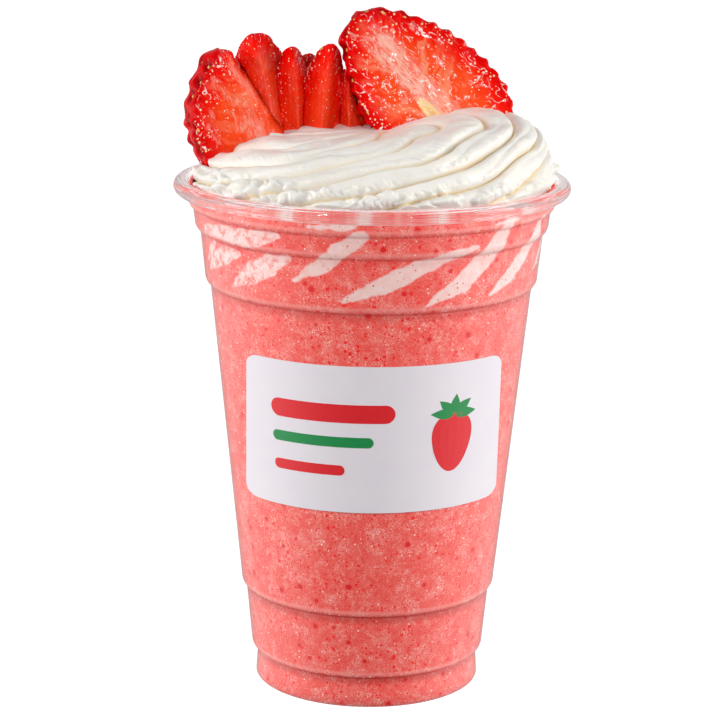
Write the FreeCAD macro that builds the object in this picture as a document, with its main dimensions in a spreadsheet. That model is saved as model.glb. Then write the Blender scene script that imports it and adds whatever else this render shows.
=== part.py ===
"""Strawberry milkshake in a clear disposable cup, with piped cream and cut strawberries.

Frame: millimetres, +Z up, origin at the centre of the foot, -Y towards the label.
Every size is a named cell of the spreadsheet; the solids are worked out from those cells.
"""
import FreeCAD, Part

import itertools
import math
import os

import Sketcher

PARTS = "parts"
FRONT = -90.0
BACK = 90.0
UP = FreeCAD.Vector(0, 0, 1)
ACROSS = FreeCAD.Vector(1, 0, 0)
AHEAD = FreeCAD.Vector(0, 1, 0)

# How finely the cream's control net follows its ropes.
NET_POINTS_PER_ROPE = 12
NET_ROWS = 56

doc = FreeCAD.newDocument("Milkshake")
sheet = doc.addObject("Spreadsheet::Sheet", "Sizes")
sheet_rows = itertools.count(1)


def cell(alias, number, note):
    """Write one named size into the next row of the sheet."""
    row = next(sheet_rows)
    sheet.set(f"A{row}", alias)
    sheet.set(f"B{row}", str(number))
    sheet.set(f"C{row}", note)
    sheet.setAlias(f"B{row}", alias)


def size(alias):
    """Read a named size back as a number."""
    return float(sheet.get(alias))


def value(formula):
    """Work out a formula of sheet cells as a number."""
    return float(sheet.evalExpression(formula))


# ---------------------------------------------------------------- sizes: the cup
cell("cup_height", 128.0, "table to the top of the rolled rim")
cell("cup_wall", 0.55, "thermoformed wall")
cell("foot_radius", 28.24, "outside of the foot")
cell("foot_edge", 0.83, "rounding where the foot meets the table")
cell("foot_land", 2.2, "width of the flat ring that touches the table")
cell("floor_lift", 2.6, "height of the raised floor above the table")
cell("floor_slope", 1.1, "how far the raised floor's side leans in")
cell("mouth_radius", 45.2, "outside of the wall just under the rim")
cell("lip_flare", 0.35, "how far the wall flares between the last ring and the rim")
cell("roll_radius", 1.73, "radius of the rolled rim")
cell("roll_width", 3.74, "from the mouth out to the edge of the rim")
cell("roll_inner", 1.1, "from the mouth out to where the roll's top starts")

# Stacking rings, from the foot up. A low ring is placed from the foot: how far the wall under
# it stands outside the foot, and its height. A high ring is placed from the mouth: how far the
# wall under it stands inside the mouth, and its depth below the rim. Then its step and rise.
LOW_RINGS = {
    "heel": (-0.43, 7.77, 1.58, 1.64),
    "lower": (2.61, 24.42, 1.13, 1.67),
}
HIGH_RINGS = {
    "upper": (5.32, 26.10, 1.35, 2.33),
    "neck": (2.79, 12.60, 1.31, 2.22),
    "lip": (1.04, 6.92, 1.04, 1.53),
}
for ring, (offset, height, step, rise) in {**LOW_RINGS, **HIGH_RINGS}.items():
    cell(f"{ring}_offset", offset, f"wall under the {ring} ring, from the foot or mouth")
    cell(f"{ring}_height", height, f"corner of the {ring} ring, from the table or rim")
    cell(f"{ring}_step", step, f"how far the {ring} ring steps out")
    cell(f"{ring}_rise", rise, f"height of the {ring} ring's round")

# ---------------------------------------------------------------- sizes: drink and label
cell("fill_depth", 3.8, "from the rim down to the milkshake, where the cream starts")
cell("label_width", 73.4, "along the curved wall")
cell("label_height", 37.0, "along Z")
cell("label_lift", 6.6, "its middle above the middle of the plain wall")
cell("label_thickness", 0.15, "coated paper sticker")
cell("label_corner", 2.8, "corner radius, seen from the front")
cell("label_turn", 2.5, "how far its middle is turned to the right of the front")

# ---------------------------------------------------------------- sizes: the cream
cell("cream_gap", 1.1, "between the cream's edge and the inside of the cup")
cell("cream_height", 15.6, "height of the mound in the middle")
cell("cream_swell", 8.2, "how much higher the mound stands on its full side")
cell("cream_swell_turn", -4.0, "direction of the full side")
cell("cream_round", 2.2, "exponent of the mound's side, 2 being a half ellipse")
cell("cream_round_full", 0.9, "added to that exponent on the full side")
cell("cream_crown", 4.0, "radius of the flat middle where the swirl ends")
cell("rope_count", 8, "ropes that leave the edge")
cell("rope_rings", 4.5, "ropes crossed between the edge and the middle")
cell("rope_spread", 1.6, "how much wider the ropes grow towards the middle")
cell("rope_depth", 2.8, "height of a rope above the groove beside it")
cell("rope_round", 0.8, "exponent of a rope's back, rounder when smaller")
cell("rope_fade", 0.11, "share of the way up over which the ropes begin")
cell("rope_dive", 0.5, "how steeply the ropes start where the nozzle set down")
cell("rope_dive_turn", -122.0, "direction in which they start")
cell("rope_dive_spread", 16.0, "degrees over which they start")

# ---------------------------------------------------------------- sizes: the strawberries
cell("berry_stem", 0.45, "stem end's radius as a part of the berry's")
cell("berry_widest", 0.36, "where a berry is widest, along its length")
cell("berry_nose", 0.90, "where its rounded nose starts, along its length")
cell("berry_taper", 0.46, "radius there as a part of the berry's")
cell("fan_out", 22.95, "from the cup's middle out to the foot of the fan")
cell("slice_out", 29.75, "from the cup's middle out to the stem end of the big slice")
cell("slice_length", 50.4, "stem end to tip of the big slice")
cell("slice_radius", 16.7, "half width of the big slice")
cell("slice_thickness", 12.0, "between its two cut faces")
cell("slice_front", 3.0, "cut face in front of the berry's core")
cell("slice_y", 5.2, "stem end, front to back")
cell("slice_up", 6.4, "stem end above the milkshake")
cell("slice_lean", 44.6, "lean to the left")
cell("slice_back", 3.0, "lean away from the front")
cell("slice_turn", 14.0, "how far its cut face turns to the right")

WEDGE_WORDS = {
    "length": "stem end to tip",
    "radius": "half width of the whole berry",
    "angle": "between the two cut faces",
    "core": "edge of the cut in front of the berry's axis",
    "slant": "lean of the cut against the berry",
    "along": "foot, to the right of the fan's foot",
    "y": "foot, front to back",
    "up": "foot above the milkshake",
    "lean": "lean to the left",
    "turn": "turn about the berry's own axis",
}
WEDGES = {
    "strawberry_left": (33.6, 15.4, 116.0, 5.0, 14.0, -1.0, 2.0, 4.6, 28.5, 50.0),
    "strawberry_fan_a": (37.2, 14.6, 82.0, 1.0, 0.0, 2.1, 5.5, 2.0, 14.0, 4.0),
    "strawberry_fan_b": (34.0, 10.5, 66.0, 1.0, 0.0, 5.4, 3.6, 1.3, 4.0, 10.0),
    "strawberry_fan_c": (35.2, 10.5, 74.0, 1.0, 0.0, 8.6, 1.8, 1.3, -6.5, 6.0),
    "strawberry_fan_d": (29.0, 10.0, 70.0, 1.0, 0.0, 17.8, 3.8, 1.3, 2.0, -10.0),
    "strawberry_tip": (31.0, 9.0, 80.0, 1.0, 0.0, 7.8, 11.0, 1.8, 2.0, 0.0),
}
for wedge, numbers in WEDGES.items():
    for (word, note), number in zip(WEDGE_WORDS.items(), numbers):
        cell(f"{wedge}_{word}", number, f"{wedge}: {note}")
cell("fan_back", 4.0, "lean of the fan away from the front")
doc.recompute()

# Formulas that several pieces share.
FILL_LEVEL = "(Sizes.cup_height - Sizes.fill_depth)"
MOUTH_INSIDE = "(Sizes.mouth_radius - Sizes.cup_wall)"
CREAM_EDGE = f"({MOUTH_INSIDE} - Sizes.cream_gap)"
LAND_INSIDE = "(Sizes.foot_radius - Sizes.foot_edge - Sizes.foot_land)"


# ---------------------------------------------------------------- half sections
def arc_radius(step, rise):
    """Formula of the arc that leaves along one axis and covers this step and rise."""
    return f"(({step})^2 + ({rise})^2) / (2 * ({step}))"


def bulged_arc(start, end, radius, side):
    """Arc from start to end; side +1 puts its centre left of the way, -1 right."""
    half = (end - start) * 0.5
    across = FreeCAD.Vector(-half.y, half.x, 0).normalize()
    reach = math.sqrt(max(radius ** 2 - half.Length ** 2, 0.0))
    centre = (start + end) * 0.5 + across * reach * side
    crown = centre - across * radius * side
    return Part.Arc(start, crown, end)


def ends_of(sketch, index, corners):
    """Point numbers of a section element's start and end, seen along the section."""
    start = FreeCAD.Vector(value(corners[index][0]), value(corners[index][1]), 0)
    return (1, 2) if sketch.getPoint(index, 1).distanceToPoint(start) < 1e-6 else (2, 1)


def bind_section(sketch, corners):
    """Join the section's corners and bind each one, and each arc, to the sheet."""
    bound = []
    for index, (radius, height, bend) in enumerate(corners):
        following = (index + 1) % len(corners)
        first, last = ends_of(sketch, index, corners)
        sketch.addConstraint(Sketcher.Constraint(
            "Coincident", index, last, following, ends_of(sketch, following, corners)[0]))
        point = sketch.getPoint(index, first)
        for word, formula, place, axis in (("DistanceX", radius, point.x, -2),
                                           ("DistanceY", height, point.y, -1)):
            if formula == "0":
                sketch.addConstraint(Sketcher.Constraint("PointOnObject", index, first, axis))
            else:
                rule = Sketcher.Constraint(word, -1, 1, index, first, place)
                bound.append((sketch.addConstraint(rule), formula))
        if bend:
            rule = Sketcher.Constraint("Radius", index, value(bend[0]))
            bound.append((sketch.addConstraint(rule), bend[0]))
    for number, formula in bound:
        sketch.renameConstraint(number, f"size_{number}")
        sketch.setExpression(f"Constraints.size_{number}", formula)


def revolved_body(name, corners):
    """A body turned from a closed half section about the Z axis.

    corners: (radius, height, bend) as formulas of sheet cells. bend is None where a line leads
    to the next corner, or the formula of the arc's radius and the side of its centre.
    """
    body = doc.addObject("PartDesign::Body", name)
    sketch = body.newObject("Sketcher::SketchObject", name + "_section")
    plane = next(f for f in body.Origin.OriginFeatures if f.Role == "XZ_Plane")
    sketch.AttachmentSupport = [(plane, "")]
    sketch.MapMode = "FlatFace"
    points = [FreeCAD.Vector(value(radius), value(height), 0) for radius, height, _ in corners]
    for start, end, (_, _, bend) in zip(points, points[1:] + points[:1], corners):
        line = bulged_arc(start, end, value(bend[0]), bend[1]) if bend else (
            Part.LineSegment(start, end))
        sketch.addGeometry(line, False)
    bind_section(sketch, corners)
    turned = body.newObject("PartDesign::Revolution", name + "_turned")
    turned.Profile = sketch
    turned.ReferenceAxis = (sketch, ["V_Axis"])
    turned.Angle = 360.0
    body.Tip = turned
    return body


def walked_back(corners):
    """The same corners in the other direction, each arc kept between its own two corners."""
    bends = [None] + [bend and (bend[0], -bend[1]) for _, _, bend in corners[:-1]]
    ahead = [(radius, height, bend) for (radius, height, _), bend in zip(corners, bends)]
    return ahead[::-1]


# ---------------------------------------------------------------- the cup
def ring_place(ring):
    """Formulas of a ring's corner: wall radius under it and height."""
    offset, height = f"Sizes.{ring}_offset", f"Sizes.{ring}_height"
    if ring in LOW_RINGS:
        return f"(Sizes.foot_radius + {offset})", height
    return f"(Sizes.mouth_radius - {offset})", f"(Sizes.cup_height - {height})"


def outer_wall():
    """Outside of the wall from the heel ring to the lip: each ring is a quarter round."""
    corners = []
    for ring in {**LOW_RINGS, **HIGH_RINGS}:
        radius, height = ring_place(ring)
        step, rise = f"Sizes.{ring}_step", f"Sizes.{ring}_rise"
        corners.append((radius, height, (arc_radius(step, rise), 1)))
        corners.append((f"{radius} + {step}", f"{height} + {rise}", None))
    return corners


def inner_wall():
    """The same wall a wall's thickness further in, from the heel ring to the lip."""
    half = "0.5 * Sizes.cup_wall"
    corners = []
    for ring in {**LOW_RINGS, **HIGH_RINGS}:
        radius, height = ring_place(ring)
        step, rise = f"Sizes.{ring}_step", f"Sizes.{ring}_rise"
        bend = (arc_radius(f"{step} - {half}", f"{rise} - {half}"), 1)
        corners.append((f"{radius} - Sizes.cup_wall", f"{height} - {half}", None))
        corners.append((f"{radius} - {half}", f"{height} + {half}", bend))
        corners.append((f"{radius} + {step} - Sizes.cup_wall", f"{height} + {rise}", None))
    return corners


def inner_foot():
    """Inside of the foot, from the middle of the raised floor out to the wall."""
    return [
        ("0", "Sizes.floor_lift + Sizes.cup_wall", None),
        (f"{LAND_INSIDE} - Sizes.floor_slope", "Sizes.floor_lift + Sizes.cup_wall", None),
        (f"{LAND_INSIDE} + Sizes.cup_wall", "Sizes.cup_wall", None),
        ("Sizes.foot_radius - Sizes.foot_edge", "Sizes.cup_wall", None),
        ("Sizes.foot_radius - Sizes.cup_wall", "Sizes.foot_edge + Sizes.cup_wall", None),
    ]


def make_cup():
    """One thermoformed skin: raised floor, foot, stacking rings and rolled rim."""
    roll_middle = "Sizes.mouth_radius + Sizes.roll_width - Sizes.roll_radius"
    roll_bottom = "Sizes.cup_height - 2 * Sizes.roll_radius"
    flared = "Sizes.mouth_radius + Sizes.lip_flare"
    outer_foot = [
        ("0", "Sizes.floor_lift", None),
        (f"{LAND_INSIDE} - Sizes.floor_slope", "Sizes.floor_lift", None),
        (LAND_INSIDE, "0", None),
        ("Sizes.foot_radius - Sizes.foot_edge", "0", ("Sizes.foot_edge", 1)),
        ("Sizes.foot_radius", "Sizes.foot_edge", None),
    ]
    rim = [
        (flared, roll_bottom, None),
        (roll_middle, roll_bottom, ("Sizes.roll_radius", 1)),
        (f"{roll_middle} + Sizes.roll_radius", f"{roll_bottom} + Sizes.roll_radius",
         ("Sizes.roll_radius", 1)),
        (roll_middle, "Sizes.cup_height", None),
        ("Sizes.mouth_radius + Sizes.roll_inner", "Sizes.cup_height", ("Sizes.roll_radius", 1)),
        (f"{flared} - 0.5 * Sizes.cup_wall", "Sizes.cup_height - Sizes.roll_radius", None),
    ]
    inside = walked_back(inner_foot() + inner_wall())
    return revolved_body("cup", outer_foot + outer_wall() + rim + inside)


# ---------------------------------------------------------------- the milkshake
def make_milkshake():
    """The drink: it fills the inside of the cup up to the cream."""
    surface = [(MOUTH_INSIDE, FILL_LEVEL, None), ("0", FILL_LEVEL, None)]
    return revolved_body("milkshake", inner_foot() + inner_wall() + surface)


# ---------------------------------------------------------------- the label
def plain_wall_radius(height):
    """Formula of the plain wall's outside radius between the lower and upper rings."""
    narrow, low = ring_place("lower")
    narrow, low = f"({narrow} + Sizes.lower_step)", f"({low} + Sizes.lower_rise)"
    wide, high = ring_place("upper")
    return f"({narrow} + ({wide} - {narrow}) * ({height} - {low}) / ({high} - {low}))"


def make_label():
    """A paper sticker bent round the plain wall: its band, cut to a rounded plate."""
    low, high = ring_place("lower")[1], ring_place("upper")[1]
    middle = f"(({low} + Sizes.lower_rise + {high}) / 2 + Sizes.label_lift)"
    bottom, top = f"({middle} - Sizes.label_height / 2)", f"({middle} + Sizes.label_height / 2)"
    low_radius, high_radius = plain_wall_radius(bottom), plain_wall_radius(top)
    band = revolved_body("label_band", [
        (low_radius, bottom, None),
        (f"{low_radius} + Sizes.label_thickness", bottom, None),
        (f"{high_radius} + Sizes.label_thickness", top, None),
        (high_radius, top, None),
    ])
    radius = plain_wall_radius(middle)
    half_width = f"{radius} * sin(Sizes.label_width / 2 / {radius} * 180 / pi)"
    plate = doc.addObject("Part::Box", "label_plate")
    plate.setExpression("Length", "Sizes.mouth_radius")
    plate.setExpression("Width", f"2 * {half_width}")
    plate.setExpression("Height", "Sizes.label_height")
    plate.setExpression("Placement.Base.y", f"-{half_width}")
    plate.setExpression("Placement.Base.z", bottom)
    doc.recompute()
    corner = size("label_corner")
    long_edges = [number for number, edge in enumerate(plate.Shape.Edges, 1)
                  if abs(edge.BoundBox.XLength - plate.Length.Value) < 1e-6]
    rounded = doc.addObject("Part::Fillet", "label_rounded")
    rounded.Base = plate
    rounded.Edges = [(number, corner, corner) for number in long_edges]
    sticker = doc.addObject("Part::Common", "label")
    sticker.Base, sticker.Tool = band, rounded
    sticker.Placement = FreeCAD.Placement(
        FreeCAD.Vector(), FreeCAD.Rotation(UP, FRONT + size("label_turn")))
    return sticker


# ---------------------------------------------------------------- the strawberries
def berry_body(name, length, radius):
    """A whole strawberry standing on its stem end, tip up."""
    stem, taper = f"(Sizes.berry_stem * {radius})", f"(Sizes.berry_taper * {radius})"
    widest, nose = f"(Sizes.berry_widest * {length})", f"(Sizes.berry_nose * {length})"
    shoulder = arc_radius(f"{radius} - {stem}", widest)
    flank = arc_radius(f"{radius} - {taper}", f"{nose} - {widest}")
    tip = arc_radius(f"{length} - {nose}", taper)
    return revolved_body(name, [
        ("0", "0", None),
        (stem, "0", (shoulder, 1)),
        (radius, widest, (flank, 1)),
        (taper, nose, (tip, 1)),
        ("0", length, None),
    ])


def stand(piece, x, y, up, lean, back, turn):
    """Stand a piece in the cream: turned about its own axis, leant left and leant back."""
    rotation = (FreeCAD.Rotation(AHEAD, -lean) * FreeCAD.Rotation(ACROSS, -back)
                * FreeCAD.Rotation(UP, turn))
    foot = FreeCAD.Vector(x, y, value(FILL_LEVEL) + up)
    piece.Placement = FreeCAD.Placement(foot, rotation)


def make_wedge(name):
    """A strawberry cut lengthwise to its core: two flat faces that meet in front."""
    berry = berry_body(name + "_berry", f"Sizes.{name}_length", f"Sizes.{name}_radius")
    sector = doc.addObject("Part::Cylinder", name + "_sector")
    sector.setExpression("Radius", f"3 * Sizes.{name}_radius")
    sector.setExpression("Height", f"2 * Sizes.{name}_length")
    sector.setExpression("Angle", f"Sizes.{name}_angle")
    half_length = size(f"{name}_length") / 2
    slant = FreeCAD.Rotation(AHEAD, -size(f"{name}_slant"))
    opening = FreeCAD.Rotation(UP, BACK - size(f"{name}_angle") / 2)
    start = (FreeCAD.Vector(0, -size(f"{name}_core"), half_length)
             - slant.multVec(UP) * 2 * half_length)
    sector.Placement = FreeCAD.Placement(start, slant * opening)
    piece = doc.addObject("Part::Common", name + "_whole")
    piece.Base, piece.Tool = berry, sector
    stand(piece, size(f"{name}_along") - size("fan_out"), size(f"{name}_y"),
          size(f"{name}_up"), size(f"{name}_lean"), size("fan_back"), size(f"{name}_turn"))
    return piece


def make_big_slice():
    """A thick slice cut along the berry, face to the front."""
    berry = berry_body("slice_berry", "Sizes.slice_length", "Sizes.slice_radius")
    slab = doc.addObject("Part::Box", "slice_slab")
    slab.setExpression("Length", "4 * Sizes.slice_radius")
    slab.setExpression("Width", "Sizes.slice_thickness")
    slab.setExpression("Height", "Sizes.slice_length")
    slab.setExpression("Placement.Base.x", "-2 * Sizes.slice_radius")
    slab.setExpression("Placement.Base.y", "-Sizes.slice_front")
    piece = doc.addObject("Part::Common", "slice_whole")
    piece.Base, piece.Tool = berry, slab
    stand(piece, size("slice_out"), size("slice_y"), size("slice_up"),
          size("slice_lean"), size("slice_back"), size("slice_turn"))
    return piece


def cut_round(name, piece, neighbours):
    """The piece less the neighbours that press into it."""
    for number, neighbour in enumerate(neighbours):
        cut = doc.addObject("Part::Cut", f"{name}_less_{number}")
        cut.Base, cut.Tool = piece, neighbour
        piece = cut
    piece.Label = name
    return piece


def make_strawberries():
    """The big slice, then the fan: each wedge gives way to the ones that stand before it."""
    whole = {name: make_wedge(name) for name in WEDGES}
    whole["strawberry_slice"] = make_big_slice()
    stands_before = {
        "strawberry_slice": [],
        "strawberry_left": [],
        "strawberry_fan_c": ["strawberry_slice"],
        "strawberry_fan_b": ["strawberry_fan_c", "strawberry_left"],
        "strawberry_fan_a": ["strawberry_fan_b", "strawberry_fan_c", "strawberry_left"],
        "strawberry_fan_d": ["strawberry_fan_c", "strawberry_slice"],
        "strawberry_tip": ["strawberry_fan_a", "strawberry_fan_b", "strawberry_fan_c",
                           "strawberry_fan_d", "strawberry_slice"],
    }
    pieces = [cut_round(name, whole[name], [whole[other] for other in others])
              for name, others in stands_before.items()]
    doc.recompute()
    return pieces


# ---------------------------------------------------------------- the cream
def cream_point(around, up):
    """A point of the piped mound: around in degrees, up from 0 at the edge to 1 at the crown.

    The mound is a dome that is taller and squarer on its full side. Ropes wind up it: their
    phase grows with the way up and falls with the way round, so that they climb to the left
    of the nozzle's path, and each is as round as rope_round makes it.
    """
    fullness = (0.5 + 0.5 * math.cos(math.radians(around - size("cream_swell_turn")))) ** 2
    fullness *= 1 - up ** 4
    edge = value(CREAM_EDGE)
    tall = size("cream_height") + size("cream_swell") * fullness
    power = 2 / (size("cream_round") + size("cream_round_full") * fullness)
    tilt = up * math.acos((size("cream_crown") / edge) ** (1 / power))
    reach = edge * math.cos(tilt) ** power
    rise = tall * math.sin(tilt) ** power

    started = math.tanh((around - size("rope_dive_turn")) / size("rope_dive_spread"))
    crossed = size("rope_rings") * (1 - (1 - up) ** size("rope_spread"))
    passed = round(size("rope_count")) * around / 360
    phase = crossed - passed - size("rope_dive") * started * (1 - up)
    back = abs(math.sin(math.pi * phase)) ** size("rope_round")
    lift = size("rope_depth") * (back - 0.5) * min(1.0, up / size("rope_fade")) * (1 - up ** 3)

    outward, upward = math.cos(tilt) / edge, math.sin(tilt) / tall
    reach += lift * outward / math.hypot(outward, upward)
    rise += lift * upward / math.hypot(outward, upward)
    turn = math.radians(around)
    return FreeCAD.Vector(reach * math.cos(turn), reach * math.sin(turn),
                          value(FILL_LEVEL) + rise)


def make_cream(fruit):
    """The swirl as one smooth closed surface, less the fruit that stands in it."""
    columns = NET_POINTS_PER_ROPE * round(size("rope_count"))
    net = []
    for column in range(columns):
        around = (BACK + 360 * column / columns + 180) % 360 - 180
        net.append([cream_point(around, row / (NET_ROWS - 1)) for row in range(NET_ROWS)])
    around_knots = [float(column) for column in range(columns + 1)]
    up_knots = [float(row) for row in range(NET_ROWS - 2)]
    surface = Part.BSplineSurface()
    surface.buildFromPolesMultsKnots(
        net, [1] * len(around_knots), [4] + [1] * (len(up_knots) - 2) + [4],
        around_knots, up_knots, True, False, 3, 3)
    side = surface.toShape()
    rounds = [edge for edge in side.Edges if edge.isClosed() and edge.BoundBox.ZLength < 0.01]
    shell = Part.Shell([side] + [Part.Face(Part.Wire([edge])) for edge in rounds])
    shell.sewShape()
    solid = Part.Solid(Part.Shell(shell.Faces))
    if solid.Volume < 0:
        solid.reverse()
    swirl = doc.addObject("Part::Feature", "cream_swirl")
    swirl.Shape = solid
    return cut_round("whipped_cream", swirl, fruit)


# ---------------------------------------------------------------- checks and files
def finish(nodes):
    """Recompute, refuse a failed object and write each node's solid."""
    doc.recompute()
    for item in doc.Objects:
        if {"Invalid", "Error"} & set(item.State):
            raise RuntimeError(f"{item.Name} failed: {item.State}")
    for node in nodes:
        shape = node.Shape
        if shape.isNull() or not shape.isValid() or len(shape.Solids) != 1:
            raise RuntimeError(f"{node.Label} isn't one valid solid")
    os.makedirs(PARTS, exist_ok=True)
    for node in nodes:
        node.Shape.exportStep(f"{PARTS}/{node.Label}.step")
        print(f"{node.Label}: {node.Shape.Volume:.0f} mm3")


strawberries = make_strawberries()
finish([make_cup(), make_milkshake(), make_label(), make_cream(strawberries)] + strawberries)
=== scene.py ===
"""A strawberry milkshake to go: clear cup, drink, whipped cream and cut strawberries.

Lengths are in millimetres where a name or a comment says so, and are made metres by MM.
The front is -Y and up is +Z, as in the frame.
"""
import math

import bmesh
import bpy
import numpy as np
from mathutils import Matrix, Vector, noise
from mathutils.kdtree import KDTree


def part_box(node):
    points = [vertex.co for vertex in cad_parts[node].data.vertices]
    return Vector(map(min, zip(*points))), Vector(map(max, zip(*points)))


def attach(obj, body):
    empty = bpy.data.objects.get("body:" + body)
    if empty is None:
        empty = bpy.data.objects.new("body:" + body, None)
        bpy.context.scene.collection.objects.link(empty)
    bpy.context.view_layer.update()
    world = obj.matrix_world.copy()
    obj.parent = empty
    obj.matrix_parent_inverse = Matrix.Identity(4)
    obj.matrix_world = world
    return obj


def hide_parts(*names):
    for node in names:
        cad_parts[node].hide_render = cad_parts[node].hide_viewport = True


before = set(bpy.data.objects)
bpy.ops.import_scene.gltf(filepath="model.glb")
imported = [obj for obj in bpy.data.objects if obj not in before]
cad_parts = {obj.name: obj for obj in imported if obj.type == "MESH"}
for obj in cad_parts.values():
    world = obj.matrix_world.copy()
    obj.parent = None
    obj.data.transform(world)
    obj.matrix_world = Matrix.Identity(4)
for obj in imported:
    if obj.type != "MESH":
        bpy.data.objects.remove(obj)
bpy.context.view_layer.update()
SCENE = bpy.context.scene
MM = 0.001


# ---------------------------------------------------------------- the studio
# A pale table top under a plain white surround, with a large soft lamp on either side, one
# above and two small ones in front for glints. The surround is dimmer towards the front.
class NodeNet:
    """The nodes of a material or of the surround, and a short way to add to them."""

    def __init__(self, tree):
        self.nodes = tree.nodes
        self.links = tree.links

    def put(self, node, sockets):
        """Give a node's sockets their values, or link them to other nodes' outputs."""
        for name, what in sockets.items():
            socket = node.inputs[name]
            if isinstance(what, bpy.types.NodeSocket):
                self.links.new(what, socket)
            else:
                socket.default_value = what
        return node

    def add(self, kind, sockets, **settings):
        """A new node of a kind, with its settings and sockets."""
        node = self.nodes.new("ShaderNode" + kind)
        for name, what in settings.items():
            setattr(node, name, what)
        return self.put(node, sockets)

    def sum(self, operation, first, second=0.0, third=0.0):
        """One sum of numbers."""
        sockets = {0: first, 1: second, 2: third}
        return self.add("Math", sockets, operation=operation).outputs[0]

    def times(self, first, *others):
        """The product of numbers."""
        for other in others:
            first = self.sum("MULTIPLY", first, other)
        return first

    def span(self, what, low, high, start=0.0, end=1.0):
        """What, eased from start to end as it goes from low to high."""
        sockets = {"Value": what, "From Min": low, "From Max": high, "To Min": start,
                   "To Max": end}
        return self.add("MapRange", sockets, interpolation_type="SMOOTHSTEP").outputs[0]


class Finish(NodeNet):
    """A material and its one Principled shader."""

    def __init__(self, name):
        self.material = bpy.data.materials.new(name)
        self.material.use_nodes = True
        super().__init__(self.material.node_tree)
        self.shader = self.nodes["Principled BSDF"]
        self.output = self.nodes["Material Output"]

    def mixed(self, share, first, second):
        """Two colours mixed by a share."""
        node = self.add("Mix", {}, data_type="RGBA")
        self.put(node, {0: share, 6: first, 7: second})
        return node.outputs[2]

    def laid(self, tone, share, red, green, blue):
        """A tone with another laid over a share of it."""
        return self.mixed(share, tone, colour(red, green, blue))

    def place(self):
        """Where a point is on the object, in metres."""
        return self.add("TexCoord", {}).outputs["Object"]

    def kept(self, name):
        """A number that each point of the mesh keeps."""
        return self.add("Attribute", {}, attribute_name=name).outputs["Fac"]

    def height(self, where):
        """How high a place is."""
        return self.add("SeparateXYZ", {"Vector": where}).outputs["Z"]

    def away(self, what, middle):
        """How far a number is from a middle, either way."""
        return self.sum("ABSOLUTE", self.sum("SUBTRACT", what, middle))

    def grain(self, where, size, detail=2.0, rough=0.5, warp=0.0):
        """Noise whose blotches are about size metres across."""
        sockets = {"Vector": where, "Scale": 1 / size, "Detail": detail, "Roughness": rough,
                   "Distortion": warp}
        return self.add("TexNoise", sockets).outputs["Fac"]

    def spots(self, where, cell, radius, share):
        """Round spots of up to radius, in a share of the cells, all in metres."""
        sockets = {"Vector": where, "Scale": 1 / cell}
        cells = self.add("TexVoronoi", sockets)
        random = self.add("SeparateColor", {"Color": cells.outputs["Color"]}).outputs
        reach = self.sum("MULTIPLY_ADD", random["Green"], 0.6 * radius / cell,
                         0.4 * radius / cell)
        inside = self.sum("DIVIDE", cells.outputs["Distance"], reach)
        chosen = self.sum("GREATER_THAN", random["Red"], 1 - share)
        return self.times(self.span(inside, 1.15, 0.8), chosen)

    def bump(self, height, distance, strength=1.0, under=None):
        """A bump whose height is a number from 0 to 1, distance metres high."""
        sockets = {"Height": height, "Distance": distance, "Strength": strength}
        if under is not None:
            sockets["Normal"] = under
        return self.add("Bump", sockets).outputs["Normal"]


def colour(red, green, blue):
    """A colour given in display values from 0 to 255, as the shaders take it."""
    parts = [part / 255 for part in (red, green, blue)]
    return tuple(part / 12.92 if part <= 0.04045 else ((part + 0.055) / 1.055) ** 2.4
                 for part in parts) + (1.0,)


CAMERA_PLACE = Vector((0.0, -0.6511, 0.2352))
CAMERA_YAW = 0.221
CAMERA_TILT = 76.735
CAMERA_ROLL = 0.656
camera_data = bpy.data.cameras.new("camera")
camera_data.lens = 133.55
camera_data.sensor_width = 36.0
camera_data.clip_start = 0.02
camera = bpy.data.objects.new("camera", camera_data)
SCENE.collection.objects.link(camera)
camera.matrix_world = (Matrix.Translation(CAMERA_PLACE)
                       @ Matrix.Rotation(math.radians(CAMERA_YAW), 4, "Z")
                       @ Matrix.Rotation(math.radians(CAMERA_TILT), 4, "X")
                       @ Matrix.Rotation(math.radians(CAMERA_ROLL), 4, "Z"))
SCENE.camera = camera
SCENE.view_settings.view_transform = "Standard"

# Brightness of the surround behind and beside the cup, and its shares in front of it, below
# it and above it.
SURROUND_BRIGHT = 0.50
SURROUND_FRONT = 0.42
SURROUND_BELOW = 0.90
SURROUND_ABOVE = 0.55
# How many times brighter the pale floor is far out to either side.
SIDE_GLOW = 3.0
surround = bpy.data.worlds.new("surround")
surround.use_nodes = True
SCENE.world = surround
sky = NodeNet(surround.node_tree)
toward = sky.add("SeparateXYZ", {0: sky.add("TexCoord", {}).outputs["Generated"]}).outputs
brightness = SURROUND_BRIGHT
for axis, dim, full, share in (("Y", -0.95, -0.1, SURROUND_FRONT),
                               ("Z", -0.7, 0.1, SURROUND_BELOW),
                               ("Z", 0.95, 0.25, SURROUND_ABOVE)):
    brightness = sky.times(brightness, sky.span(toward[axis], dim, full, share))
sideways = sky.span(sky.sum("ABSOLUTE", toward["X"]), 0.25, 1.0, 0.0, SIDE_GLOW - 1.0)
lowered = sky.span(toward["Z"], 0.05, -0.25)
glow = sky.sum("MULTIPLY_ADD", sideways, lowered, 1.0)
sky.put(sky.nodes["Background"], {"Strength": sky.times(brightness, glow),
                                  "Color": (1.0, 1.0, 1.0, 1.0)})

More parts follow.
